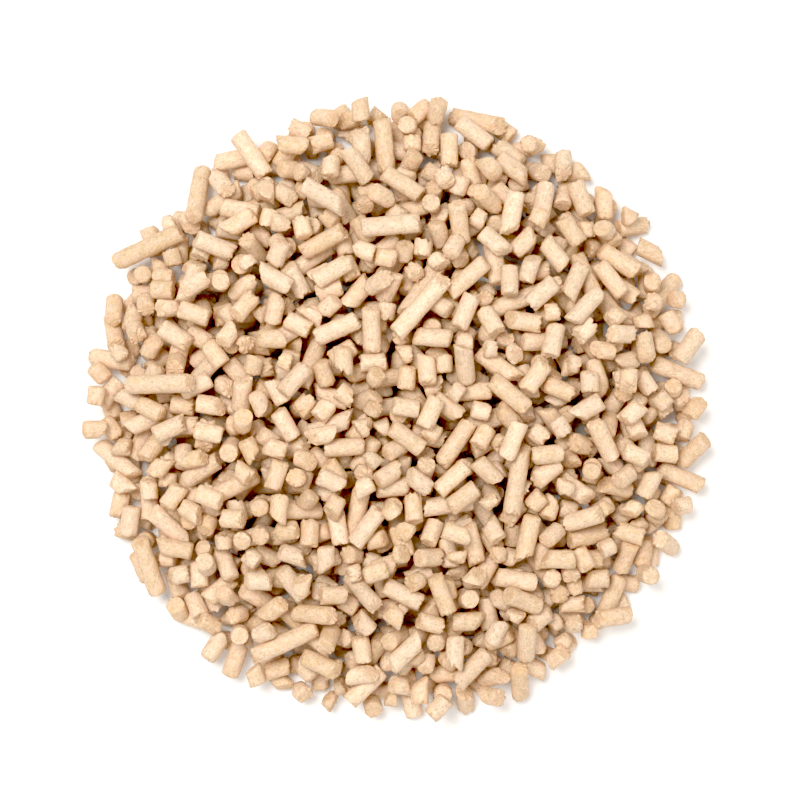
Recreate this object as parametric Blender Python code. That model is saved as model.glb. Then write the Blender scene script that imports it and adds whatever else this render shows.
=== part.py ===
"""A heap of pressed-wood cat litter, built with Blender 4.5: metres, +Z up, origin under the middle.

Every pellet is a short rod of pressed softwood. Pellets are dropped one at a time where the heap is
lowest against its form, and each rolls and tips to the lowest rest within reach. The least covered
pellets on top are objects of their own. The pellets round them are joined to the packed mass below,
whose skin runs through the gaps between them, as one bed.
"""

import math

import bmesh
import bpy
import numpy as np
from mathutils import Matrix, Vector
from mathutils.bvhtree import BVHTree
from mathutils.geometry import delaunay_2d_cdt

# The pellets
PELLET_RADIUS = 0.0030
RADIUS_SPREAD = 0.03  # share by which a die's wear makes a pellet thicker or thinner
TYPICAL_LENGTH = 0.0090
LENGTH_SPREAD = 0.38  # of the length's logarithm
SHORTEST, LONGEST = 0.0050, 0.0265
END_CHAMFER = 0.0007
SIDES = 8
BED_SIDES = 6

# The heap
HEAP_RADIUS = 0.1072
CROWN_HEIGHT, RIM_HEIGHT = 0.0300, 0.0055
FORM_POWER = 4.0  # how full the flanks are: 2 is a dome, and more is flatter on top
RIM_ROOM = 0.0035  # every pellet's middle stays this far inside the rim
MOST_PELLETS = 2000

# How pellets come to rest
SEED = 7
GAP = 0.00025  # room kept round each pellet
GRID = 0.00075
DROP_CHOICES = 30
LEVEL_REACH = 0.005
FULL_ENOUGH = 0.0012  # a drop needs the heap at least this far below its form
ROLL_COST = 0.60  # height a pellet must lose for each metre that it rolls: the slope of rest
ROLL_ROUNDS, ROLL_TRIES = 8, 18
FIRST_STEP = (0.006, 0.006, 0.9, 0.5)  # metres, metres, radians of turn and radians of tip
STEP_SHRINK = 0.66
USUAL_TIP = 0.30
UPRIGHT_SHARE, UPRIGHT_FROM, UPRIGHT_LONGEST = 0.20, 0.80, 0.0110

# The free pellets
FREE_PELLETS = 59
FREE_CHOICES = 150  # pellets weighed up, of which the first that stand clear are used
FREE_SPACING = 0.0120
FREE_CLEARANCE = 0.0002
TOUCH_REACH = 2 * GAP + 0.0004  # a neighbour this near touches
LEAST_FREE_SHOWN = 0.75  # share of a free pellet that nothing lies over

# The bed
BEDDED_PELLETS = 240
LEAST_HOLD = 0.0004  # how deep a bedded pellet reaches into the mass below
MASS_RADIUS = 0.0990
MASS_RIM = 0.0035
MASS_STEP = 0.0072  # between the points of its skin
MASS_REACH = 0.0060  # its skin is the ground's mean height within this distance
MASS_SINK = 0.0033  # and lies this far below it


def rod_axis(turn, tip):
    """Unit axes of rods turned about Z and tipped up from level, one row each."""
    level = np.cos(tip)
    rise = np.maximum(np.sin(tip), 1e-3)
    return np.stack([level * np.cos(turn), level * np.sin(turn), rise], -1)


def rod_skin(axis, half, radius, dx, dy):
    """Lowest and highest surface of each rod over a grid of offsets from its centre, and where it is."""
    along = dx[:, :, None] * axis[:, 0, None, None] + dy[:, None, :] * axis[:, 1, None, None]
    rise = axis[:, 2, None, None]
    spread = np.maximum(1 - rise * rise, 1e-6)
    miss = dx[:, :, None] ** 2 + dy[:, None, :] ** 2 - along**2 - radius**2
    middle = along * rise
    inside = middle * middle - spread * miss
    reach = np.sqrt(np.maximum(inside, 0))
    low = np.maximum((middle - reach) / spread, (-half - along) / rise)
    high = np.minimum((middle + reach) / spread, (half - along) / rise)
    return low, high, (inside > 0) & (low < high)


class Ground:
    """The height of the heap so far over a square grid, and which pellet is on top there."""

    def __init__(self):
        self.middle = math.ceil((HEAP_RADIUS + LONGEST) / GRID)
        side = 2 * self.middle + 1
        self.height = np.full((side, side), -GAP)
        self.top = np.full((side, side), -1)

    def window(self, x, y, reach):
        """Grid rows and columns round each point, and their offsets from it."""
        steps = np.arange(-math.ceil(reach / GRID) - 1, math.ceil(reach / GRID) + 2)
        rows = np.round(x / GRID).astype(int)[:, None] + steps + self.middle
        columns = np.round(y / GRID).astype(int)[:, None] + steps + self.middle
        rows, columns = (np.clip(i, 0, 2 * self.middle) for i in (rows, columns))
        dx = (rows - self.middle) * GRID - x[:, None]
        dy = (columns - self.middle) * GRID - y[:, None]
        return rows, columns, dx, dy

    def level(self, x, y):
        rows, columns, _, _ = self.window(x, y, LEVEL_REACH)
        return self.height[rows[:, :, None], columns[:, None, :]].mean((1, 2))

    def rest_height(self, poses, half, radius):
        """How high the centre of a rod comes to rest in each pose (x, y, turn, tip)."""
        rows, columns, dx, dy = self.window(poses[:, 0], poses[:, 1], half + radius)
        low, _, there = rod_skin(rod_axis(poses[:, 2], poses[:, 3]), half, radius, dx, dy)
        held = self.height[rows[:, :, None], columns[:, None, :]] - low
        return np.where(there, held, -1.0).max((1, 2))

    def lay(self, pose, z, half, radius, number):
        rows, columns, dx, dy = self.window(pose[None, 0], pose[None, 1], half + radius)
        _, high, there = rod_skin(rod_axis(pose[None, 2], pose[None, 3]), half, radius, dx, dy)
        spot = (rows[0][:, None], columns[0][None, :])
        surface = np.where(there[0], z + high[0], -1.0)
        self.top[spot] = np.where(surface > self.height[spot], number, self.top[spot])
        self.height[spot] = np.maximum(surface, self.height[spot])


def form_height(distance):
    """Height of the heap's smooth form at a distance from its axis."""
    fall = np.clip(distance / HEAP_RADIUS, 0, 1) ** FORM_POWER
    return CROWN_HEIGHT + (RIM_HEIGHT - CROWN_HEIGHT) * fall


def drop_point(ground, chance):
    """The lowest of several places against the heap's form, and by how much it is too low."""
    distance = (HEAP_RADIUS - RIM_ROOM) * np.sqrt(chance.random(DROP_CHOICES))
    angle = 2 * math.pi * chance.random(DROP_CHOICES)
    x, y = distance * np.cos(angle), distance * np.sin(angle)
    lack = form_height(distance) - ground.level(x, y)
    lowest = int(np.argmax(lack))
    return x[lowest], y[lowest], lack[lowest]


def come_to_rest(ground, chance, start, half, radius):
    """Rolls and tips a rod from where it drops to the lowest rest that is near enough."""
    best = start
    z = ground.rest_height(best[None], half, radius)[0]
    least = z
    step = np.array(FIRST_STEP)
    for _ in range(ROLL_ROUNDS):
        trials = best + chance.normal(size=(ROLL_TRIES, 4)) * step
        trials[:, 3] = math.pi / 2 - np.abs(math.pi / 2 - np.abs(trials[:, 3]))
        heights = ground.rest_height(trials, half, radius)
        rolled = np.hypot(trials[:, 0] - start[0], trials[:, 1] - start[1])
        outside = np.hypot(trials[:, 0], trials[:, 1]) > HEAP_RADIUS - RIM_ROOM
        costs = np.where(outside, np.inf, heights + ROLL_COST * rolled)
        lowest = int(np.argmin(costs))
        if costs[lowest] < least:
            best, z, least = trials[lowest], heights[lowest], costs[lowest]
        step = step * STEP_SHRINK
    return best, z


def pour():
    """The pellets in the order that they fell, as dicts, with the ground that they made."""
    chance = np.random.default_rng(SEED)
    ground = Ground()
    pellets = []
    for number in range(MOST_PELLETS):
        x, y, lack = drop_point(ground, chance)
        if lack < FULL_ENOUGH:
            break
        length = TYPICAL_LENGTH * math.exp(LENGTH_SPREAD * chance.normal())
        length = min(max(length, SHORTEST), LONGEST)
        radius = PELLET_RADIUS * chance.uniform(1 - RADIUS_SPREAD, 1 + RADIUS_SPREAD)
        turn = 2 * math.pi * chance.random()
        tip = USUAL_TIP * abs(chance.normal())
        upright = chance.random() < UPRIGHT_SHARE
        if upright and length < UPRIGHT_LONGEST:
            tip = chance.uniform(UPRIGHT_FROM, math.pi / 2)
        start = np.array([x, y, turn, tip])
        half, room = length / 2, radius + GAP
        pose, z = come_to_rest(ground, chance, start, half, room)
        ground.lay(pose, z, half, room, number)
        pellets.append(
            {
                "pose": pose,
                "centre": Vector((pose[0], pose[1], z)),
                "axis": Vector(rod_axis(pose[2], pose[3])),
                "half": half,
                "radius": radius,
            }
        )
    return pellets, ground


def add_rod(bm, pellet, sides, chamfer, grow=0.0):
    """A pellet's faceted rod, with its end edges broken by a chamfer, added to bm in place."""
    half, radius = pellet["half"] + grow, pellet["radius"] + grow
    profile = [(radius - chamfer, -half), (radius, chamfer - half)]
    profile += [(radius, half - chamfer), (radius - chamfer, half)]
    if chamfer == 0:
        profile = [(radius, -half), (radius, half)]
    place = Matrix.Translation(pellet["centre"]) @ pellet["axis"].to_track_quat("Z", "X").to_matrix().to_4x4()
    rings = []
    for ring_radius, along in profile:
        ring = []
        for k in range(sides):
            angle = 2 * math.pi * (k + 0.5) / sides
            corner = Vector((ring_radius * math.cos(angle), ring_radius * math.sin(angle), along))
            ring.append(bm.verts.new(place @ corner))
        rings.append(ring)
    for below, above in zip(rings, rings[1:]):
        for k in range(sides):
            after = (k + 1) % sides
            bm.faces.new((below[k], below[after], above[after], above[k]))
    bm.faces.new(reversed(rings[0]))
    bm.faces.new(rings[-1])


def rod_tree(pellet, sides, chamfer, grow=0.0):
    bm = bmesh.new()
    add_rod(bm, pellet, sides, chamfer, grow)
    tree = BVHTree.FromBMesh(bm)
    bm.free()
    return tree


def near(one, other):
    reach = one["half"] + other["half"] + one["radius"] + other["radius"]
    return (one["centre"] - other["centre"]).length < reach


def free_choices(pellets, ground):
    """The pellets that nothing much lies over, spread over the heap, the least covered first."""
    cells = np.bincount(ground.top[ground.top >= 0], minlength=len(pellets))
    shares = []
    for pellet, shown in zip(pellets, cells):
        level = pellet["axis"].xy.length
        width = 2 * (pellet["radius"] + GAP)
        plan = width * 2 * pellet["half"] * level + math.pi * width**2 / 4 * pellet["axis"].z
        shares.append(shown * GRID**2 / plan)
    chosen = []
    for i in sorted(range(len(pellets)), key=lambda i: -shares[i]):
        centre = pellets[i]["centre"]
        apart = all((centre - pellets[j]["centre"]).length > FREE_SPACING for j in chosen)
        if apart and shares[i] > LEAST_FREE_SHOWN:
            chosen.append(i)
    return chosen[:FREE_CHOICES], cells


def mass_skin(pellets, left_out):
    """The ground of all the pellets but some, evened out and sunk to lie among the top layer."""
    ground = Ground()
    for i, pellet in enumerate(pellets):
        if i not in left_out:
            ground.lay(pellet["pose"], pellet["centre"].z, pellet["half"], pellet["radius"], i)
    skin = ground.height.clip(0)
    reach = round(MASS_REACH / GRID)
    for across in (0, 1):
        skin = np.mean([np.roll(skin, step, across) for step in range(-reach, reach + 1)], axis=0)
    return ground, skin - MASS_SINK


def mass_mesh(pellets, left_out):
    """The packed mass of the heap: flat underneath, with a skin among the pellets of the top layer."""
    ground, skin = mass_skin(pellets, left_out)
    points = [Vector((0, 0))]
    ring_count = round(MASS_RADIUS / MASS_STEP)
    for ring in range(1, ring_count + 1):
        distance = MASS_RADIUS * ring / ring_count
        count = round(2 * math.pi * distance / MASS_STEP)
        for k in range(count):
            angle = 2 * math.pi * (k + 0.5 * (ring % 2)) / count
            points.append(Vector((distance * math.cos(angle), distance * math.sin(angle))))
    points, _, faces, _, _, _ = delaunay_2d_cdt(points, [], [], 0, 1e-6)
    bm = bmesh.new()
    corners = []
    for point in points:
        row, column = (round(float(c) / GRID) + ground.middle for c in point)
        height = max(float(skin[row, column]), MASS_RIM)
        corners.append(bm.verts.new((point.x, point.y, height)))
    for face in faces:
        bm.faces.new([corners[k] for k in face])
    bmesh.ops.recalc_face_normals(bm, faces=bm.faces)
    if sum(face.normal.z for face in bm.faces) < 0:
        bmesh.ops.reverse_faces(bm, faces=bm.faces)
    rim = [edge for edge in bm.edges if edge.is_boundary]
    skirt = bmesh.ops.extrude_edge_only(bm, edges=rim)["geom"]
    foot = [item for item in skirt if isinstance(item, bmesh.types.BMVert)]
    for corner in foot:
        corner.co.z = 0
    lower = [edge for edge in bm.edges if edge.is_boundary]
    bmesh.ops.contextual_create(bm, geom=lower)
    bmesh.ops.recalc_face_normals(bm, faces=bm.faces)
    return bm


def choose(pellets, ground):
    """Which pellets are joined to the mass, which lie free, and the mass they lie on."""
    choices, cells = free_choices(pellets, ground)
    mass = mass_mesh(pellets, set(choices))
    mass_tree = BVHTree.FromBMesh(mass)
    held = []
    for i, pellet in enumerate(pellets):
        if i not in choices and rod_tree(pellet, BED_SIDES, 0, -LEAST_HOLD).overlap(mass_tree):
            held.append(i)
    under = set()
    for i in choices:
        reach = rod_tree(pellets[i], SIDES, END_CHAMFER, TOUCH_REACH)
        for j in held:
            if near(pellets[i], pellets[j]) and reach.overlap(rod_tree(pellets[j], BED_SIDES, 0)):
                under.add(j)
    bedded = sorted(held, key=lambda j: (j not in under, -cells[j]))[:BEDDED_PELLETS]
    free = []
    for i in choices:
        pellet = pellets[i]
        room = rod_tree(pellet, SIDES, END_CHAMFER, FREE_CLEARANCE)
        reach = rod_tree(pellet, SIDES, END_CHAMFER, TOUCH_REACH)
        beside = [rod_tree(pellets[j], BED_SIDES, 0) for j in bedded if near(pellet, pellets[j])]
        fellows = [rod_tree(pellets[j], SIDES, END_CHAMFER) for j in free if near(pellet, pellets[j])]
        others = [*beside, *fellows, mass_tree]
        clear = not any(room.overlap(other) for other in others)
        if clear and any(reach.overlap(other) for other in others):
            free.append(i)
    return bedded, free[:FREE_PELLETS], mass


def pressed_wood():
    """Pale pressed softwood, matt, as both the bed and the free pellets are."""
    material = bpy.data.materials.new("pressed_softwood")
    material.use_nodes = True
    shader = material.node_tree.nodes["Principled BSDF"]
    shader.inputs["Base Color"].default_value = (0.79, 0.54, 0.32, 1)
    shader.inputs["Roughness"].default_value = 0.75
    shader.inputs["Metallic"].default_value = 0.0
    return material


def new_object(name, bm, material):
    mesh = bpy.data.meshes.new(name)
    bm.to_mesh(mesh)
    bm.free()
    mesh.materials.append(material)
    made = bpy.data.objects.new(name, mesh)
    bpy.context.scene.collection.objects.link(made)
    return made


def shells(bm):
    """The mesh's faces, a list for each closed surface."""
    left = set(bm.faces)
    found = []
    while left:
        shell = [left.pop()]
        for face in shell:
            beside = {other for edge in face.edges for other in edge.link_faces}
            shell.extend(beside & left)
            left -= beside
        found.append(shell)
    return found


def fill_pockets(bm):
    """Drops the walls of hollows that open nowhere, which face into the hollow, so they become solid."""
    for shell in shells(bm):
        volume = sum(face.calc_center_median().dot(face.normal) * face.calc_area() / 3 for face in shell)
        if volume < 0:
            bmesh.ops.delete(bm, geom=shell, context="FACES")


def joined_bed(mass, pellets, wood):
    """The mass and the bedded pellets as one closed solid."""
    rods = bmesh.new()
    for pellet in pellets:
        add_rod(rods, pellet, BED_SIDES, 0)
    rods = new_object("bedded_pellets", rods, wood)
    bed = new_object("pellet_bed", mass, wood)
    union = bed.modifiers.new("hold_pellets", "BOOLEAN")
    union.operation = "UNION"
    union.solver = "EXACT"
    union.use_self = True
    union.object = rods
    joined = bmesh.new()
    joined.from_object(bed, bpy.context.evaluated_depsgraph_get())
    fill_pockets(joined)
    bed.modifiers.remove(union)
    bpy.data.objects.remove(rods)
    joined.to_mesh(bed.data)
    joined.free()
    return bed


def main():
    for old in list(bpy.data.objects):
        bpy.data.objects.remove(old)
    pellets, ground = pour()
    bedded, free, mass = choose(pellets, ground)
    wood = pressed_wood()
    joined_bed(mass, [pellets[i] for i in bedded], wood)
    for number, i in enumerate(free, 1):
        bm = bmesh.new()
        add_rod(bm, pellets[i], SIDES, END_CHAMFER)
        new_object(f"pellet_{number:02d}", bm, wood)
    print(len(pellets), "pellets,", len(bedded), "bedded,", len(free), "free")


main()
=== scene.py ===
"""The looks of a heap of wood pellet cat litter: every pellet, its broken ends and its pressed wood.

The pellets are poured again by the rules that made the frame, so they lie where its solids do. Each one
then gets its own mesh: a slightly uneven rod with ends snapped at a slant, chipped, domed or torn. A free
pellet replaces its own node. The others are gathered by place into pieces that replace the bed.
"""

import functools
import math

import bpy
import numpy as np
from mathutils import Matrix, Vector


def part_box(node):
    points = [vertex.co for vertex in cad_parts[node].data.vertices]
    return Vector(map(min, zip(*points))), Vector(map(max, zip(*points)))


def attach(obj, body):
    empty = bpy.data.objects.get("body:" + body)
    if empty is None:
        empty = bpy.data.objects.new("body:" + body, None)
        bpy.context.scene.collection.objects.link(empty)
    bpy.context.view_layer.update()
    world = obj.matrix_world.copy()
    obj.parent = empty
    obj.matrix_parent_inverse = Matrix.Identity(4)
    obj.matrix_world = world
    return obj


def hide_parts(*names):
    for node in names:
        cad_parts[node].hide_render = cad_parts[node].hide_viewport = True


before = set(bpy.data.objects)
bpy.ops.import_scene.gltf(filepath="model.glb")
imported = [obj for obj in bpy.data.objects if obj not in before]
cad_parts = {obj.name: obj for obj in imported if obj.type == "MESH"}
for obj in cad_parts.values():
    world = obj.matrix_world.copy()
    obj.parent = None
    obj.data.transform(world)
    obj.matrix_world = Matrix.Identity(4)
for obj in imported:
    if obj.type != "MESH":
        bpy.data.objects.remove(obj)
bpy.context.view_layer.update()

# The heap, as the frame's solids were poured
PELLET_RADIUS = 0.0030
RADIUS_SPREAD = 0.03  # share by which a die's wear makes a pellet thicker or thinner
TYPICAL_LENGTH = 0.0090
LENGTH_SPREAD = 0.38  # of the length's logarithm
SHORTEST, LONGEST = 0.0050, 0.0265
HEAP_RADIUS = 0.1072
CROWN_HEIGHT, RIM_HEIGHT = 0.0300, 0.0055
FORM_POWER = 4.0  # how full the flanks are: 2 is a dome, and more is flatter on top
RIM_ROOM = 0.0035  # every pellet's middle stays this far inside the rim
MOST_PELLETS = 2000
SEED = 7
GAP = 0.00025  # room kept round each pellet
GRID = 0.00075
DROP_CHOICES = 30
LEVEL_REACH = 0.005
FULL_ENOUGH = 0.0012  # a drop needs the heap at least this far below its form
ROLL_COST = 0.60  # height a pellet must lose for each metre that it rolls: the slope of rest
ROLL_ROUNDS, ROLL_TRIES = 8, 18
FIRST_STEP = (0.006, 0.006, 0.9, 0.5)  # metres, metres, radians of turn and radians of tip
STEP_SHRINK = 0.66
USUAL_TIP = 0.30
UPRIGHT_SHARE, UPRIGHT_FROM, UPRIGHT_LONGEST = 0.20, 0.80, 0.0110

# The mesh of a pellet
SHOWN_SIDES, HIDDEN_SIDES = 22, 12
ROW_STEP = 0.0013  # between the rings of points along a pellet
FEWEST_ROWS = 3
CAP_SHARES = (0.30, 0.58, 0.82, 0.95)  # of the radius, for the rings of points on a broken end
HIDDEN_SHARES = (0.90,)
SWELL = 1.03  # the frame's rods are inscribed in the round pellets, and stand a little apart
OVAL = 0.018  # share by which a section may be flattened
GROOVE = 0.010  # share of the radius, for the marks that the die leaves along a pellet
WAVE = 0.014  # the same, for the swellings along its length
WAVE_TURNS = (400, 1100)  # radians of a swelling's wave for each metre
LUMP = 0.014  # the same, for the lumps of its surface
BEND = 0.0003
FULL_BEND_FROM = 3  # half the length over the radius: shorter pellets are bent less
EDGE_LEAST, EDGE_MOST = 0.00010, 0.00085  # how far the worn edge of an end reaches along the side
ROUNDING = 10  # the power of the radius by which that edge falls away
USUAL_SLANT, STEEPEST_SLANT = 0.14, 0.60  # radians off square, for a break
SLANT_ROOM = 0.45  # share of half the length: a slanted break's middle lies no further inside
DOME = (-0.06, 0.28)  # share of the radius by which the middle of an end stands out
CHIP_DEPTHS = (0.00052, 0.00130)
CHIP_WIDTHS = (0.35, 0.90)  # radians to each side of its middle
CHIP_FROM = 0.35  # share of the radius where a chip begins
CHIPPED_SHARE = 0.30  # of the ends
TORN_DEPTH = 0.0012
TORN_POWER = 4  # of the radius, by which tearing grows toward the edge
ROUGH_DEPTH = 0.00009
SPLINTER_SHARE = 0.42  # of the ends
MOST_SPLINTERS = 3  # on one end
SPLINTER_LENGTHS = (0.00056, 0.00160)
SPLINTER_WIDTHS = (0.00010, 0.00024)
SPLINTER_LEAN = 0.25  # sideways for each unit of its length
SPLINTER_ROOT = 0.0005  # how deep a splinter starts inside the pellet
SPLINTER_INSET = (0.05, 0.20)  # share of the way from the edge to the axis
TILE = 0.0480  # the bed's pellets are gathered by squares of this side
MAP = "OFBake"  # the pieces' own map
GRAIN_ROOM = 400  # millimetres of wood from which each pellet is cut
MILLIMETRES = 1000  # in a metre

# The view: the camera looks straight down, a little off the heap's middle
VIEW_WIDTH = 0.2730
VIEW_MIDDLE = (0.0012, 0.0031)
LENS, SENSOR = 100.0, 36.0
MIDDLE_HEIGHT = 0.02
BLACK_POINT, TONE_GAMMA = 0.036, 1.26


def rod_axis(turn, tip):
    """Unit axes of rods turned about Z and tipped up from level, one row each."""
    level = np.cos(tip)
    rise = np.maximum(np.sin(tip), 1e-3)
    return np.stack([level * np.cos(turn), level * np.sin(turn), rise], -1)


def rod_skin(axis, half, radius, dx, dy):
    """Lowest and highest surface of each rod over a grid of offsets from its centre, and where it is."""
    along = dx[:, :, None] * axis[:, 0, None, None] + dy[:, None, :] * axis[:, 1, None, None]
    rise = axis[:, 2, None, None]
    spread = np.maximum(1 - rise * rise, 1e-6)
    miss = dx[:, :, None] ** 2 + dy[:, None, :] ** 2 - along**2 - radius**2
    middle = along * rise
    inside = middle * middle - spread * miss
    reach = np.sqrt(np.maximum(inside, 0))
    low = np.maximum((middle - reach) / spread, (-half - along) / rise)
    high = np.minimum((middle + reach) / spread, (half - along) / rise)
    return low, high, (inside > 0) & (low < high)


class Ground:
    """The height of the heap so far over a square grid, and which pellet is on top there."""

    def __init__(self):
        self.middle = math.ceil((HEAP_RADIUS + LONGEST) / GRID)
        side = 2 * self.middle + 1
        self.height = np.full((side, side), -GAP)
        self.top = np.full((side, side), -1)

    def window(self, x, y, reach):
        """Grid rows and columns round each point, and their offsets from it."""
        steps = np.arange(-math.ceil(reach / GRID) - 1, math.ceil(reach / GRID) + 2)
        rows = np.round(x / GRID).astype(int)[:, None] + steps + self.middle
        columns = np.round(y / GRID).astype(int)[:, None] + steps + self.middle
        rows, columns = (np.clip(i, 0, 2 * self.middle) for i in (rows, columns))
        dx = (rows - self.middle) * GRID - x[:, None]
        dy = (columns - self.middle) * GRID - y[:, None]
        return rows, columns, dx, dy

    def level(self, x, y):
        """The mean height round each point."""
        rows, columns, _, _ = self.window(x, y, LEVEL_REACH)
        return self.height[rows[:, :, None], columns[:, None, :]].mean((1, 2))

    def rest_height(self, poses, half, radius):
        """How high the centre of a rod comes to rest in each pose (x, y, turn, tip)."""
        rows, columns, dx, dy = self.window(poses[:, 0], poses[:, 1], half + radius)
        low, _, there = rod_skin(rod_axis(poses[:, 2], poses[:, 3]), half, radius, dx, dy)
        held = self.height[rows[:, :, None], columns[:, None, :]] - low
        return np.where(there, held, -1.0).max((1, 2))

    def lay(self, pose, z, half, radius, number):
        """Adds a rod that has come to rest."""
        rows, columns, dx, dy = self.window(pose[None, 0], pose[None, 1], half + radius)
        _, high, there = rod_skin(rod_axis(pose[None, 2], pose[None, 3]), half, radius, dx, dy)
        spot = (rows[0][:, None], columns[0][None, :])
        surface = np.where(there[0], z + high[0], -1.0)
        self.top[spot] = np.where(surface > self.height[spot], number, self.top[spot])
        self.height[spot] = np.maximum(surface, self.height[spot])


def form_height(distance):
    """Height of the heap's smooth form at a distance from its axis."""
    fall = np.clip(distance / HEAP_RADIUS, 0, 1) ** FORM_POWER
    return CROWN_HEIGHT + (RIM_HEIGHT - CROWN_HEIGHT) * fall


def drop_point(ground, chance):
    """The lowest of several places against the heap's form, and by how much it is too low."""
    distance = (HEAP_RADIUS - RIM_ROOM) * np.sqrt(chance.random(DROP_CHOICES))
    angle = 2 * math.pi * chance.random(DROP_CHOICES)
    x, y = distance * np.cos(angle), distance * np.sin(angle)
    lack = form_height(distance) - ground.level(x, y)
    lowest = int(np.argmax(lack))
    return x[lowest], y[lowest], lack[lowest]


def come_to_rest(ground, chance, start, half, radius):
    """Rolls and tips a rod from where it drops to the lowest rest that is near enough."""
    best = start
    z = ground.rest_height(best[None], half, radius)[0]
    least = z
    step = np.array(FIRST_STEP)
    for _ in range(ROLL_ROUNDS):
        trials = best + chance.normal(size=(ROLL_TRIES, 4)) * step
        trials[:, 3] = math.pi / 2 - np.abs(math.pi / 2 - np.abs(trials[:, 3]))
        heights = ground.rest_height(trials, half, radius)
        rolled = np.hypot(trials[:, 0] - start[0], trials[:, 1] - start[1])
        outside = np.hypot(trials[:, 0], trials[:, 1]) > HEAP_RADIUS - RIM_ROOM
        costs = np.where(outside, np.inf, heights + ROLL_COST * rolled)
        lowest = int(np.argmin(costs))
        if costs[lowest] < least:
            best, z, least = trials[lowest], heights[lowest], costs[lowest]
        step = step * STEP_SHRINK
    return best, z


def pour():
    """The pellets in the order that they fell, as dicts, with the ground that they made."""
    chance = np.random.default_rng(SEED)
    ground = Ground()
    pellets = []
    for number in range(MOST_PELLETS):
        x, y, lack = drop_point(ground, chance)
        if lack < FULL_ENOUGH:
            break
        length = TYPICAL_LENGTH * math.exp(LENGTH_SPREAD * chance.normal())
        length = min(max(length, SHORTEST), LONGEST)
        radius = PELLET_RADIUS * chance.uniform(1 - RADIUS_SPREAD, 1 + RADIUS_SPREAD)
        turn = 2 * math.pi * chance.random()
        tip = USUAL_TIP * abs(chance.normal())
        upright = chance.random() < UPRIGHT_SHARE
        if upright and length < UPRIGHT_LONGEST:
            tip = chance.uniform(UPRIGHT_FROM, math.pi / 2)
        start = np.array([x, y, turn, tip])
        half, room = length / 2, radius + GAP
        pose, z = come_to_rest(ground, chance, start, half, room)
        ground.lay(pose, z, half, room, number)
        pellets.append(
            {
                "number": number,
                "centre": Vector((pose[0], pose[1], z)),
                "axis": Vector(rod_axis(pose[2], pose[3])),
                "half": half,
                "radius": radius,
            }
        )
    return pellets, ground


def pellet_part(ring, caps, rows):
    """The part of a pellet that lies between a ring and the next one up."""
    if ring < caps:
        return "lower"
    return "side" if ring < caps + rows - 1 else "upper"


@functools.cache
def pellet_net(sides, caps, rows):
    """How a pellet's points join into faces, and where each corner lies on its square of the map.

    The points are the middle of the lower end, rings up to the middle of the upper end, and that middle.
    Rings number caps on each end, and rows along the side. On the map, the side is a strip across the
    square and each end is a disc above it.
    """
    rings = 2 * caps + rows
    strip, disc, margin = 0.66, 0.145, 0.02
    corners, sizes, smooth, places = [], [], [], []

    def place(ring, column, part):
        if part == "side":
            up = (ring - caps) / (rows - 1)
            return margin + (1 - 2 * margin) * column / sides, margin + (strip - margin) * up
        share = (ring + 1) / (caps + 1) if part == "lower" else (rings - ring) / (caps + 1)
        angle = 2 * math.pi * column / sides
        middle = 0.25 if part == "lower" else 0.75
        across, up = disc * share * math.cos(angle), disc * share * math.sin(angle)
        return middle + across, strip + margin + disc + up

    def face(members, part):
        for ring, column in members:
            if ring == -1:
                corners.append(0)
            elif ring == rings:
                corners.append(1 + rings * sides)
            else:
                corners.append(1 + ring * sides + column % sides)
            places.append(place(ring, column, part))
        sizes.append(len(members))

    for column in range(sides):
        face([(-1, column), (0, column + 1), (0, column)], "lower")
        smooth.append(False)
        for ring in range(rings - 1):
            square = [(ring, column), (ring, column + 1), (ring + 1, column + 1), (ring + 1, column)]
            face(square, pellet_part(ring, caps, rows))
            smooth.append(caps - 1 <= ring <= caps + rows - 1)
        face([(rings - 1, column), (rings - 1, column + 1), (rings, column)], "upper")
        smooth.append(False)
    return np.array(corners), np.array(sizes), np.array(smooth), np.array(places)


def wander(chance, count):
    """Noise round a ring: values about 0, with a spread of 1."""
    values = chance.normal(size=count)
    return values / max(values.std(), 1e-9)


def broken_end(chance, angles, shares, pellet):
    """How far a broken end lies inside the full length, a row for each share of the radius."""
    radius, half = pellet["radius"], pellet["half"]
    share = np.array(shares)[:, None]
    slant = min(USUAL_SLANT * abs(chance.standard_cauchy()), STEEPEST_SLANT)
    slope = min(math.tan(slant), SLANT_ROOM * half / radius)
    toward = chance.uniform(0, 2 * math.pi)
    cut = slope * radius * (1 - share * np.cos(angles - toward))
    cut = cut + chance.uniform(*DOME) * radius * (share**2 - 0.5)
    tearing = TORN_DEPTH * chance.random() ** 2
    cut = cut + tearing * np.clip(wander(chance, len(angles)), -1, 2) * share**TORN_POWER
    if chance.random() < CHIPPED_SHARE:
        middle = chance.uniform(0, 2 * math.pi)
        width = chance.uniform(*CHIP_WIDTHS)
        away = np.abs((angles - middle + math.pi) % (2 * math.pi) - math.pi)
        outward = np.clip((share - CHIP_FROM) / (1 - CHIP_FROM), 0, 1)
        chip = np.clip(1 - away / width, 0, 1) * outward
        cut = cut + chance.uniform(*CHIP_DEPTHS) * chip
    worn = chance.uniform(EDGE_LEAST, EDGE_MOST) * share**ROUNDING
    return cut + worn + ROUGH_DEPTH * chance.normal(size=cut.shape) * (0.4 + share)


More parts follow.
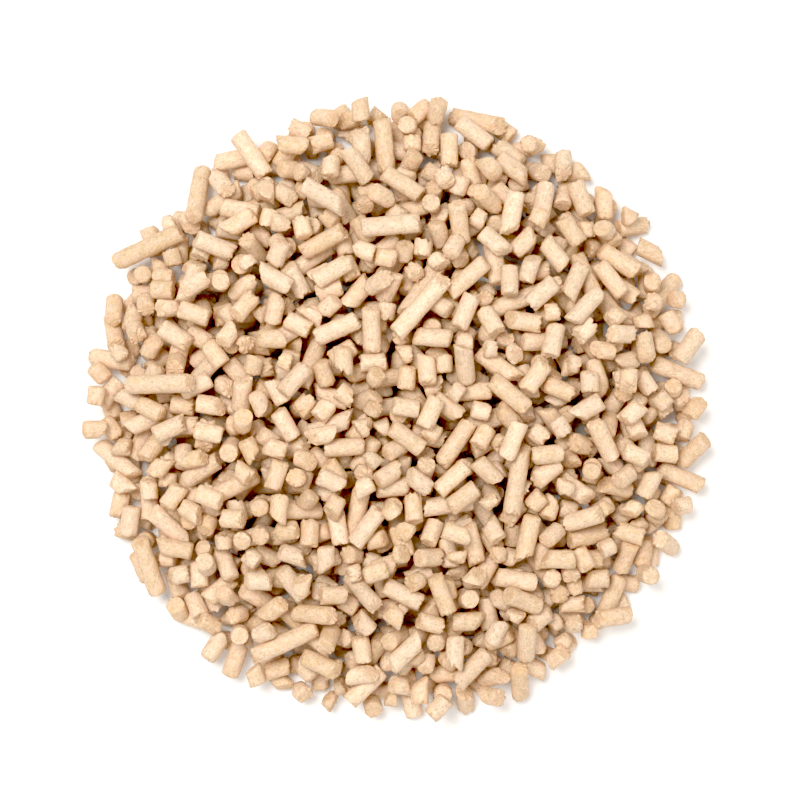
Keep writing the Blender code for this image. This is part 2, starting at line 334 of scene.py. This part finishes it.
def pellet_points(pellet, chance, sides, shares, rows):
    """A pellet's points in its own frame, axis up, and how broken the surface is at each."""
    radius, half = SWELL * pellet["radius"], pellet["half"]
    angles = 2 * math.pi * np.arange(sides) / sides
    ends = [broken_end(chance, angles, (*shares, 1.0), pellet) for _ in range(2)]
    low = -half + np.maximum(ends[0], 0)
    high = half - np.maximum(ends[1], 0)
    foot, head = low[-1], high[-1]
    up = np.linspace(0, 1, rows)[:, None]
    side = foot + (head - foot) * up
    z = np.concatenate([low[:-1], side, high[-2::-1]])
    share = np.concatenate([np.array(shares), np.ones(rows), np.array(shares[::-1])])[:, None]
    turn = chance.uniform(0, 2 * math.pi)
    section = 1 + OVAL * np.cos(2 * (angles - turn)) + GROOVE * wander(chance, sides)
    wave = chance.uniform(*WAVE_TURNS)
    swelling = 1 + WAVE * np.sin(wave * z + chance.uniform(0, 6))
    lumps = chance.normal(size=(len(z), sides))
    lumps = (lumps + np.roll(lumps, 1, 1) + np.roll(lumps, 1, 0)) / 3**0.5
    reach = radius * share * section * swelling * (1 + LUMP * lumps)
    bend = BEND * chance.normal() * min(half / PELLET_RADIUS / FULL_BEND_FROM, 1)
    bow = bend * ((z / half) ** 2 - 0.4)
    x = reach * np.cos(angles) + bow
    y = reach * np.sin(angles)
    rings = np.stack([x, y, z], -1).reshape(-1, 3)
    middles = np.array([[0, 0, low[0].mean()], [0, 0, high[0].mean()]])
    broken = np.repeat(np.where(share[:, 0] < 1, 1.0, 0.0), sides)
    points = np.concatenate([middles[:1], rings, middles[1:]])
    return points, np.concatenate([[1.0], broken, [1.0]])


def splinters(chance, points, sides, caps, rows):
    """Thin three-sided slivers that stand out of torn ends: four corners each, in the pellet's frame."""
    made = []
    for ring, out in ((caps, -1), (caps + rows - 1, 1)):
        if chance.random() > SPLINTER_SHARE:
            continue
        for _ in range(int(chance.integers(1, MOST_SPLINTERS + 1))):
            root = points[1 + ring * sides + int(chance.integers(sides))]
            inward = np.array([-root[0], -root[1], 0]) * chance.uniform(*SPLINTER_INSET)
            length = chance.uniform(*SPLINTER_LENGTHS)
            lean = chance.normal(size=3) * SPLINTER_LEAN
            along = np.array([lean[0], lean[1], out]) * length
            width = chance.uniform(*SPLINTER_WIDTHS)
            foot = root + inward - np.array([0, 0, out * SPLINTER_ROOT])
            base = [foot + width * np.array([math.cos(a), math.sin(a), 0]) for a in (0, 2.1, 4.2)]
            made.append(np.array([*base, foot + along]))
    return made


SLIVER_FACES = np.array([[0, 2, 1], [0, 1, 3], [1, 2, 3], [2, 0, 3]])
SLIVER_PLACES = np.array([[0.46, 0.97], [0.54, 0.97], [0.50, 0.99]] * 4)  # on its pellet's square of the map


class Gathered:
    """The pellets of one piece: points, faces, and the values that the wood reads at each point."""

    def __init__(self, count):
        self.across = math.ceil(math.sqrt(count))
        self.done = 0
        self.points, self.corners, self.sizes, self.smooth, self.places = [], [], [], [], []
        self.grain, self.broken, self.tone = [], [], []
        self.used = 0

    def add(self, points, corners, sizes, smooth, places, grain, broken, tone):
        self.corners.append(corners + self.used)
        self.sizes.append(sizes)
        self.smooth.append(smooth)
        square = np.array([self.done % self.across, self.done // self.across])
        self.places.append((places + square) / self.across)
        self.points.append(points)
        self.grain.append(grain)
        self.broken.append(broken)
        self.tone.append(np.full(len(points), tone))
        self.used += len(points)

    def add_pellet(self, pellet, shown):
        """Makes a pellet's mesh, with as much detail as can be seen of it."""
        chance = np.random.default_rng([SEED, pellet["number"]])
        sides = SHOWN_SIDES if shown else HIDDEN_SIDES
        shares = CAP_SHARES if shown else HIDDEN_SHARES
        rows = max(FEWEST_ROWS, round(2 * pellet["half"] / ROW_STEP)) if shown else FEWEST_ROWS
        points, broken = pellet_points(pellet, chance, sides, shares, rows)
        slivers = splinters(chance, points, sides, len(shares), rows) if shown else []
        turn = np.array(pellet["axis"].to_track_quat("Z", "X").to_matrix())
        where = chance.uniform(0, GRAIN_ROOM, size=3)
        tone = chance.random()
        centre = np.array(pellet["centre"])

        def put(local, corners, sizes, smooth, places, broken):
            world = local @ turn.T + centre
            world[:, 2] = np.maximum(world[:, 2], 0)
            grain = local * MILLIMETRES + where
            self.add(world, corners, sizes, smooth, places, grain, broken, tone)

        put(points, *pellet_net(sides, len(shares), rows), broken)
        for local in slivers:
            sizes, smooth = np.full(4, 3), np.zeros(4, bool)
            put(local, SLIVER_FACES.ravel(), sizes, smooth, SLIVER_PLACES, np.full(4, 0.5))
        self.done += 1

    def mesh(self, name):
        net = (self.points, self.corners, self.sizes, self.smooth, self.places)
        points, corners, sizes, smooth, places = (np.concatenate(part) for part in net)
        grain, broken, tone = (np.concatenate(part) for part in (self.grain, self.broken, self.tone))
        made = bpy.data.meshes.new(name)
        made.vertices.add(len(points))
        made.vertices.foreach_set("co", points.astype(np.float32).ravel())
        made.loops.add(len(corners))
        made.loops.foreach_set("vertex_index", corners.astype(np.int32))
        made.polygons.add(len(sizes))
        starts = np.concatenate([[0], np.cumsum(sizes)[:-1]])
        made.polygons.foreach_set("loop_start", starts.astype(np.int32))
        made.update(calc_edges=True)
        made.polygons.foreach_set("use_smooth", smooth)
        layer = made.uv_layers.new(name=MAP)
        layer.uv.foreach_set("vector", places.astype(np.float32).ravel())
        read = made.attributes.new("grain", "FLOAT_VECTOR", "POINT")
        read.data.foreach_set("vector", grain.astype(np.float32).ravel())
        for label, values in (("broken", broken), ("tone", tone)):
            read = made.attributes.new(label, "FLOAT", "POINT")
            read.data.foreach_set("value", values.astype(np.float32))
        return made


class Nodes:
    """A material's node tree, written as sums of named steps."""

    def __init__(self, name):
        self.material = bpy.data.materials.new(name)
        self.material.use_nodes = True
        self.tree = self.material.node_tree
        self.shader = self.tree.nodes["Principled BSDF"]

    def add(self, kind, inputs=None, **settings):
        node = self.tree.nodes.new("ShaderNode" + kind)
        for key, value in settings.items():
            setattr(node, key, value)
        for key, value in (inputs or {}).items():
            self.feed(node.inputs[key], value)
        return node

    def feed(self, socket, value):
        if isinstance(value, bpy.types.NodeSocket):
            self.tree.links.new(value, socket)
        else:
            socket.default_value = value

    def attribute(self, name, output):
        return self.add("Attribute", attribute_name=name).outputs[output]

    def math(self, operation, *values):
        node = self.add("Math", operation=operation)
        for socket, value in zip(node.inputs, values):
            self.feed(socket, value)
        return node.outputs[0]

    def stretch(self, vector, scale):
        node = self.add("VectorMath", {0: vector, 1: scale}, operation="MULTIPLY")
        return node.outputs["Vector"]

    def noise(self, vector, scale, detail=2.0):
        node = self.add("TexNoise", {"Vector": vector, "Scale": scale, "Detail": detail})
        return node.outputs["Fac"]

    def map(self, value, low, high, to_low, to_high):
        inputs = {"Value": value, "From Min": low, "From Max": high, "To Min": to_low, "To Max": to_high}
        return self.add("MapRange", inputs).outputs["Result"]

    def mix(self, share, one, other, blend="MIX"):
        node = self.add("Mix", data_type="RGBA", blend_type=blend)
        self.feed(node.inputs["Factor"], share)
        self.feed(node.inputs["A"], one)
        self.feed(node.inputs["B"], other)
        return node.outputs["Result"]


WARM_WOOD = (0.750, 0.468, 0.250, 1)
PALE_WOOD = (0.870, 0.624, 0.418, 1)
PINK_WOOD = (0.865, 0.542, 0.372, 1)
GREY_CHIP = (0.430, 0.365, 0.205, 1)
DARK_CHIP = (0.400, 0.250, 0.130, 1)
BROKEN_WOOD = (0.95, 0.90, 0.84, 1)  # multiplies the wood's colour where it is broken


def pressed_wood():
    """Pressed sawdust: a patchwork of chips and fibres, each pellet in its own tone."""
    wood = Nodes("pressed_softwood")
    grain = wood.attribute("grain", "Vector")
    tone = wood.attribute("tone", "Fac")
    broken = wood.attribute("broken", "Fac")

    cloud = wood.noise(grain, 0.40, 3.0)
    fibres = wood.noise(wood.stretch(grain, (3.2, 3.2, 0.8)), 1.0, 4.0)
    fine = wood.noise(grain, 2.2, 4.0)
    chips = wood.add("TexVoronoi", {"Vector": wood.stretch(grain, (1.0, 1.0, 0.6)), "Scale": 1.6})
    chip = wood.add("SeparateColor", {"Color": chips.outputs["Color"]})
    flecks = wood.add("TexVoronoi", {"Vector": wood.stretch(grain, (1.0, 1.0, 0.7)), "Scale": 0.75})
    fleck = wood.add("SeparateColor", {"Color": flecks.outputs["Color"]})

    shade = wood.math("MULTIPLY_ADD", tone, 0.80, wood.map(cloud, 0.3, 0.7, -0.25, 0.50))
    colour = wood.mix(shade, WARM_WOOD, PALE_WOOD)
    pink = wood.map(fleck.outputs["Green"], 0.50, 0.90, 0.0, 0.75)
    colour = wood.mix(pink, colour, PINK_WOOD)
    core = wood.map(chips.outputs["Distance"], 0.12, 0.72, 0.70, 0.0)
    grey = wood.map(chip.outputs["Blue"], 0.66, 0.86, 0.0, 1.0)
    colour = wood.mix(wood.math("MULTIPLY", grey, core), colour, GREY_CHIP)
    core = wood.map(flecks.outputs["Distance"], 0.10, 0.36, 0.60, 0.0)
    dark = wood.map(fleck.outputs["Red"], 0.84, 0.95, 0.0, 1.0)
    colour = wood.mix(wood.math("MULTIPLY", dark, core), colour, DARK_CHIP)

    patch = wood.map(chip.outputs["Red"], 0.0, 1.0, 0.88, 1.07)
    streak = wood.map(fibres, 0.30, 0.70, 0.85, 1.08)
    speck = wood.map(fine, 0.30, 0.70, 0.85, 1.08)
    own = wood.map(wood.math("FRACT", wood.math("MULTIPLY", tone, 7.3)), 0.0, 1.0, 0.90, 1.06)
    value = wood.math("MULTIPLY", wood.math("MULTIPLY", patch, streak), wood.math("MULTIPLY", speck, own))
    grey_scale = wood.add("CombineColor", {"Red": value, "Green": value, "Blue": value})
    colour = wood.mix(1.0, colour, grey_scale.outputs["Color"], "MULTIPLY")
    worn = wood.math("MULTIPLY", broken, wood.map(fine, 0.35, 0.65, 0.5, 1.0))
    colour = wood.mix(worn, colour, wood.mix(1.0, colour, BROKEN_WOOD, "MULTIPLY"))

    relief = wood.math("MULTIPLY_ADD", fibres, 0.5, wood.math("MULTIPLY", fine, 0.6))
    relief = wood.math("MULTIPLY_ADD", wood.math("MULTIPLY", broken, fine), 1.0, relief)
    bump = wood.add("Bump", {"Height": relief, "Strength": 0.6, "Distance": 0.00022})
    wood.feed(wood.shader.inputs["Base Color"], colour)
    wood.feed(wood.shader.inputs["Roughness"], wood.map(fibres, 0.3, 0.7, 0.56, 0.74))
    wood.feed(wood.shader.inputs["Normal"], bump.outputs["Normal"])
    wood.shader.inputs["Specular IOR Level"].default_value = 0.3
    return wood.material


def link(name, data):
    made = bpy.data.objects.new(name, data)
    bpy.context.scene.collection.objects.link(made)
    return made


def make_piece(name, members, shown, wood, nodes):
    """One mesh of some pellets, which rides on the frame and stands for some of its nodes."""
    gathered = Gathered(len(members))
    for pellet in members:
        gathered.add_pellet(pellet, pellet["number"] in shown)
    mesh = gathered.mesh(name)
    mesh.materials.append(wood)
    piece = link(name, mesh)
    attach(piece, "root")
    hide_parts(*nodes)


def free_nodes(pellets):
    """The frame's node for each free pellet, by the pellet's number."""
    free = {}
    for node in sorted(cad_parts):
        if node != "pellet_bed":
            low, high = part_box(node)
            middle = (low + high) / 2
            nearest = min(pellets, key=lambda pellet: (pellet["centre"] - middle).length)
            free[nearest["number"]] = node
    return free


def make_heap():
    """Every pellet of the heap, the free ones as pieces of their own."""
    pellets, ground = pour()
    shown = set(np.unique(ground.top)) - {-1}
    wood = pressed_wood()
    free = free_nodes(pellets)
    for pellet in pellets:
        if pellet["number"] in free:
            node = free[pellet["number"]]
            make_piece(f"litter_{node}", [pellet], shown, wood, [node])
    squares = {}
    for pellet in pellets:
        if pellet["number"] not in free:
            square = tuple(math.floor(c / TILE + 0.5) for c in pellet["centre"].xy)
            squares.setdefault(square, []).append(pellet)
    for number, square in enumerate(sorted(squares), 1):
        make_piece(f"litter_bed_{number:02d}", squares[square], shown, wood, ["pellet_bed"])
    print(len(pellets), "pellets,", len(shown), "shown,", len(squares), "bed pieces")


def make_floor():
    """A plain near-white floor, a little warm, which isn't part of the object."""
    reach = 3.0
    mesh = bpy.data.meshes.new("floor")
    corners = [(-reach, -reach, 0), (reach, -reach, 0), (reach, reach, 0), (-reach, reach, 0)]
    mesh.from_pydata(corners, [], [(0, 1, 2, 3)])
    floor = link("floor", mesh)
    paint = bpy.data.materials.new("floor_paint")
    paint.use_nodes = True
    shader = paint.node_tree.nodes["Principled BSDF"]
    shader.inputs["Base Color"].default_value = (0.97, 0.945, 0.91, 1)
    shader.inputs["Roughness"].default_value = 0.9
    shader.inputs["Specular IOR Level"].default_value = 0.1
    mesh.materials.append(paint)


def make_light(name, place, size, power, colour):
    """A soft square lamp that looks at the heap."""
    lamp = bpy.data.lights.new(name, "AREA")
    lamp.size = size
    lamp.energy = power
    lamp.color = colour
    made = link(name, lamp)
    made.location = place
    made.rotation_euler = (-Vector(place)).to_track_quat("-Z", "Y").to_euler()


def make_studio():
    """Soft light from above on one side, a wider and weaker lamp on the other, and an even sky."""
    make_light("key", place=(-0.26, 0.26, 1.10), size=0.42, power=12.5, colour=(0.96, 0.975, 0.97))
    make_light("fill", place=(0.45, -0.35, 1.00), size=1.00, power=4.15, colour=(0.97, 0.98, 0.975))
    world = bpy.data.worlds.new("studio")
    world.use_nodes = True
    sky = world.node_tree.nodes["Background"]
    sky.inputs["Color"].default_value = (0.97, 0.98, 0.975, 1)
    sky.inputs["Strength"].default_value = 0.515
    bpy.context.scene.world = world


def make_camera():
    """A camera over the heap, with the photograph's deep blacks and bright middle tones."""
    data = bpy.data.cameras.new("camera")
    data.lens = LENS
    data.sensor_width = SENSOR
    camera = link("camera", data)
    distance = VIEW_WIDTH * LENS / SENSOR
    camera.location = (*VIEW_MIDDLE, MIDDLE_HEIGHT + distance)
    bpy.context.scene.camera = camera
    view = bpy.context.scene.view_settings
    view.view_transform = "Standard"
    view.gamma = TONE_GAMMA
    view.use_curve_mapping = True
    view.curve_mapping.black_level = (BLACK_POINT, BLACK_POINT, BLACK_POINT)
    view.curve_mapping.update()


make_heap()
make_floor()
make_studio()
make_camera()
